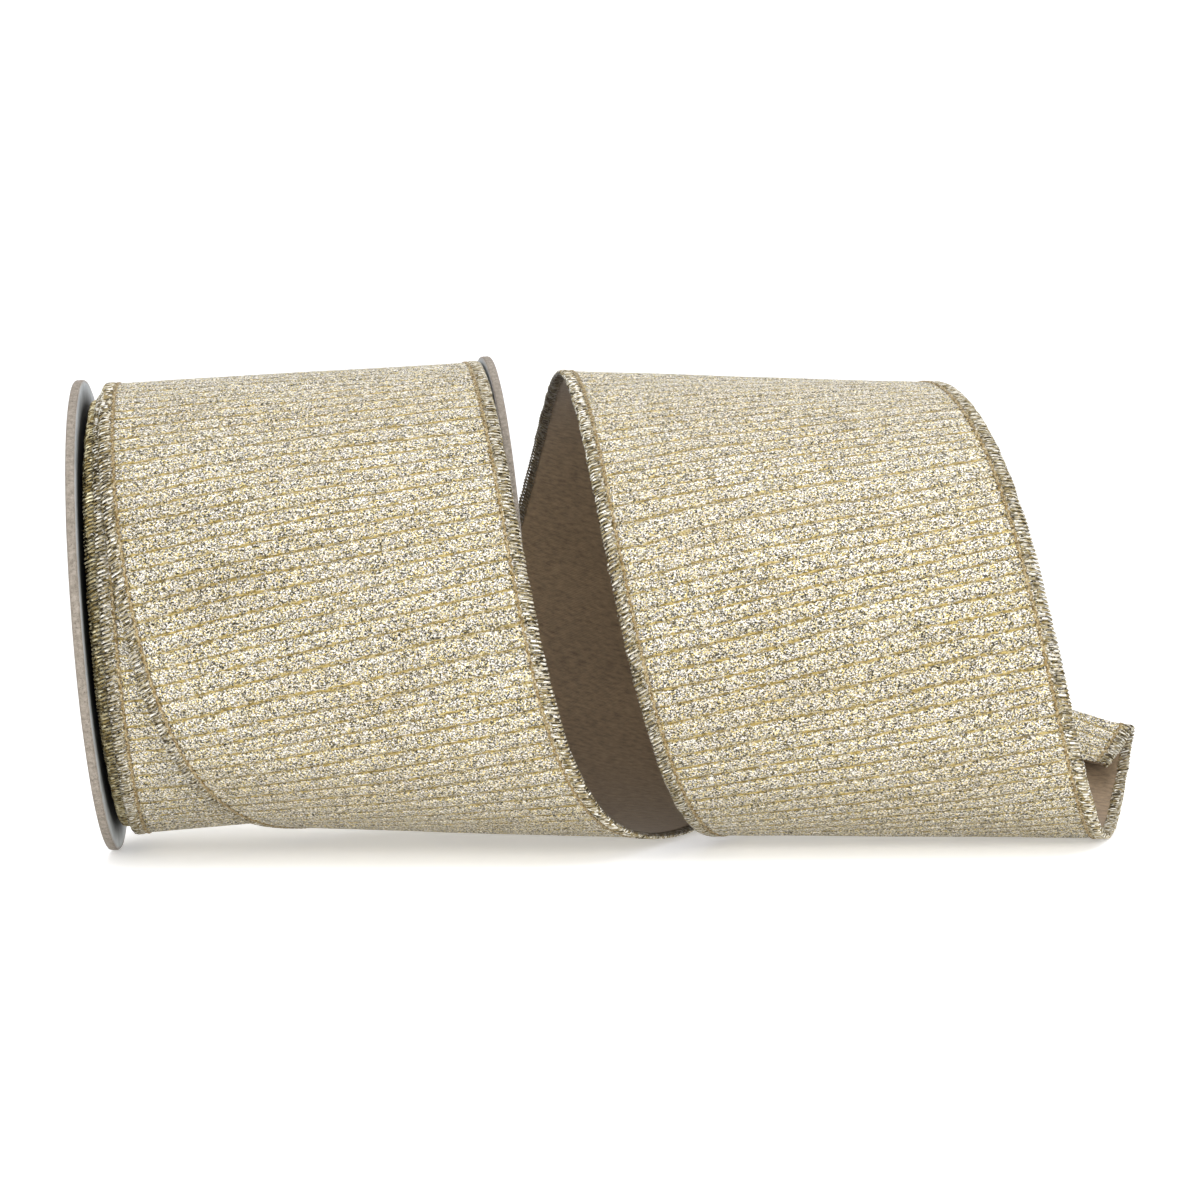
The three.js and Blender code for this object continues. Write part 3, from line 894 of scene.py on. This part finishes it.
def core_tube():
    """The tube, with both ends curled over the flange holes in round lips."""
    wobble = Noise(71)
    inner = CORE_RADIUS - CORE_WALL
    clearance = 0.02
    seat = FLANGE_STACK - SKIN + clearance
    lip = FLANGE_STACK - PAPER + CORE_LIP - seat
    lip_middle = (inner + CORE_LIP_RADIUS) / 2
    lip_half = (CORE_LIP_RADIUS - inner) / 2

    def end(face, side):
        outline = [(face + side * clearance, CORE_RADIUS)]
        for a in np.linspace(0, np.pi, 11):
            out = face + side * lip * (0.12 + 0.88 * math.sin(a) ** 0.6)
            outline.append((out, lip_middle + lip_half * math.cos(a)))
        return outline

    def uneven(angle, along, radius):
        rough = 0.05 * wobble(angle * 7, along / 8) + 0.04 * wobble(angle * 31, along / 3)
        return along, radius + rough

    stretch = np.linspace(0.05, 0.95, 12)
    bore = [(FLANGE_GAP * (1 - f), inner) for f in stretch]
    outside = [(FLANGE_GAP * f, CORE_RADIUS) for f in stretch]
    outline = end(FLANGE_GAP + seat, 1) + bore + end(-seat, -1)[::-1] + outside
    core = revolve("spool_core", outline[::-1], 200, uneven)
    dress(core, "core_board", "spool", "core_tube")


def starter_tape():
    """The CAD patch itself, with its material."""
    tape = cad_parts["starter_tape"]
    tape.data.materials.clear()
    tape.data.materials.append(MATERIALS["tape_film"])


# ------------------------------------------------------------------ camera, light, floor
# The photograph's view, from the left flange's inner face, in mm and degrees.
CAMERA_FROM_FLANGE = (54.7, -615.8, 2.8)
CAMERA_YAW = 7.47
CAMERA_ROLL = 1.26
SENSOR = 36
CAMERA_LENS = SENSOR * 2229 / 1200

# Each light: its name, place and size in metres, watts and colour.
LIGHTS = (
    ("top_light", (0.1, -0.15, 1.2), (1.4, 1.0), 10, (0.97, 0.97, 1.0)),
    ("front_light", (0.3, -1.5, 0.45), (1.6, 1.0), 13, (1, 1, 1)),
    ("left_light", (-1.3, -0.7, 0.6), (0.9, 0.9), 3, (1, 1, 1)),
)
LIT_POINT = (0, 0, 0.06)
WORLD_STRENGTH = 0.62
FLOOR_GLOW = 0.34
# The floor, in metres, sweeps up into a backdrop well behind the object.
FLOOR_FRONT = -4.0
FLOOR_BACK = 1.5
FLOOR_SIDES = (-5.0, 5.0)
SWEEP_RADIUS = 1.2
SWEEP_TOP = 4.0


def camera():
    yaw, roll = math.radians(CAMERA_YAW), math.radians(CAMERA_ROLL)
    cos_roll, sin_roll = math.cos(roll), math.sin(roll)
    tip = np.array([[cos_roll, 0, sin_roll], [0, 1, 0], [-sin_roll, 0, cos_roll]])
    matrix = np.eye(4)
    matrix[:3, 0] = tip @ np.array([math.cos(yaw), -math.sin(yaw), 0])
    matrix[:3, 1] = tip @ np.array([0, 0, 1.0])
    matrix[:3, 2] = -(tip @ np.array([math.sin(yaw), math.cos(yaw), 0]))
    matrix[:3, 3] = ORIGIN + np.array(CAMERA_FROM_FLANGE) * MM
    data = bpy.data.cameras.new("camera")
    data.lens = CAMERA_LENS
    data.sensor_width = SENSOR
    data.clip_start = 0.01
    item = add_object("camera", data)
    item.matrix_world = mathutils.Matrix(matrix.tolist())
    bpy.context.scene.camera = item


def area_light(name, place, size, power, colour):
    data = bpy.data.lights.new(name, "AREA")
    data.shape = "RECTANGLE"
    data.size, data.size_y = size
    data.energy = power
    data.color = colour
    item = add_object(name, data)
    item.location = place
    direction = mathutils.Vector(LIT_POINT) - mathutils.Vector(place)
    item.rotation_euler = direction.to_track_quat("-Z", "Y").to_euler()


def studio_floor():
    s = Shader("studio_paper")
    speck = s.noise(s.in_object(400))
    colour = s.grey_ramp(speck, (0.3, 0.93), (0.7, 0.96))
    white = (1, 1, 1, 1)
    s.finish(
        Base_Color=colour, Roughness=0.9, Emission_Color=white, Emission_Strength=FLOOR_GLOW
    )
    profile = [(FLOOR_FRONT, 0.0), (FLOOR_BACK, 0.0)]
    for a in np.linspace(0.1, math.pi / 2, 12):
        out, up = math.sin(a), 1 - math.cos(a)
        profile.append((FLOOR_BACK + SWEEP_RADIUS * out, SWEEP_RADIUS * up))
    profile.append((FLOOR_BACK + SWEEP_RADIUS, SWEEP_TOP))
    points = [(x, y, z) for y, z in profile for x in FLOOR_SIDES]
    quads = [(2 * k, 2 * k + 1, 2 * k + 3, 2 * k + 2) for k in range(len(profile) - 1)]
    mesh = bpy.data.meshes.new("studio_floor")
    mesh.from_pydata(points, [], quads)
    mesh.polygons.foreach_set("use_smooth", [True] * len(quads))
    mesh.materials.append(s.material)
    add_object("studio_floor", mesh)


def studio():
    studio_floor()
    world = bpy.data.worlds.new("studio")
    world.use_nodes = True
    background = world.node_tree.nodes["Background"]
    background.inputs["Color"].default_value = (1.0, 1.0, 1.0, 1)
    background.inputs["Strength"].default_value = WORLD_STRENGTH
    bpy.context.scene.world = world
    for light in LIGHTS:
        area_light(*light)
    bpy.context.scene.view_settings.view_transform = "Standard"


camera()
studio()
flange("left", 0.0, -1)
flange("right", FLANGE_GAP, 1)
core_tube()
starter_tape()
wound_roll()
free_ribbon()
